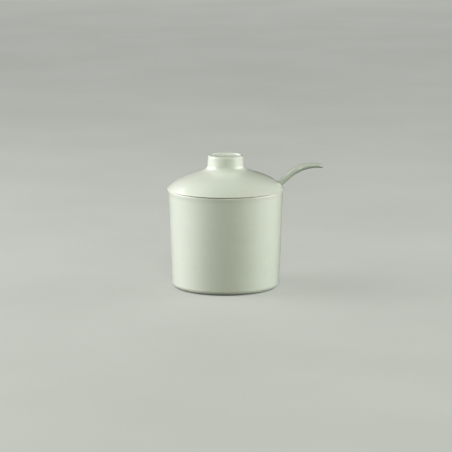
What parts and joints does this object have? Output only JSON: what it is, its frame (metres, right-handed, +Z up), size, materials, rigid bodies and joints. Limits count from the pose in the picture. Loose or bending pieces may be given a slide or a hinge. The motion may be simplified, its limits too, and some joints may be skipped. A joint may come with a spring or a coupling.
{
  "type": "lidded jam pot with spoon",
  "caption": "Cylindrical porcelain jam pot with a domed lid and a dished knob, and a porcelain spoon whose curved handle leaves through a notch in the lid's edge.",
  "frame": {"origin": "centre of the flat base that the pot stands on", "axes": "+Z up along the pot's axis, +X towards the notch in the lid and the spoon's handle"},
  "size_m": [0.1134, 0.084, 0.0954],
  "materials": {
    "pot_glaze": "clear gloss glaze on white porcelain, bare clay on the standing face and the top of the rim",
    "lid_glaze": "clear gloss glaze on white porcelain, bare clay on the seat and the locating ring",
    "spoon_glaze": "clear gloss glaze on white porcelain"
  },
  "bodies": {
    "pot": {"pot": "pot_glaze"},
    "lid": {"lid": "lid_glaze"},
    "spoon": {"spoon": "spoon_glaze"}
  },
  "joints": [
    {"name": "lid_lift", "type": "slide", "parent": "pot", "child": "lid", "axis": [0, 0, 1], "range_m": [0, 0.09]},
    {"name": "spoon_slide", "type": "slide", "parent": "pot", "child": "spoon", "axis": [0.749, 0, 0.6626], "range_m": [0, 0.055]}
  ]
}
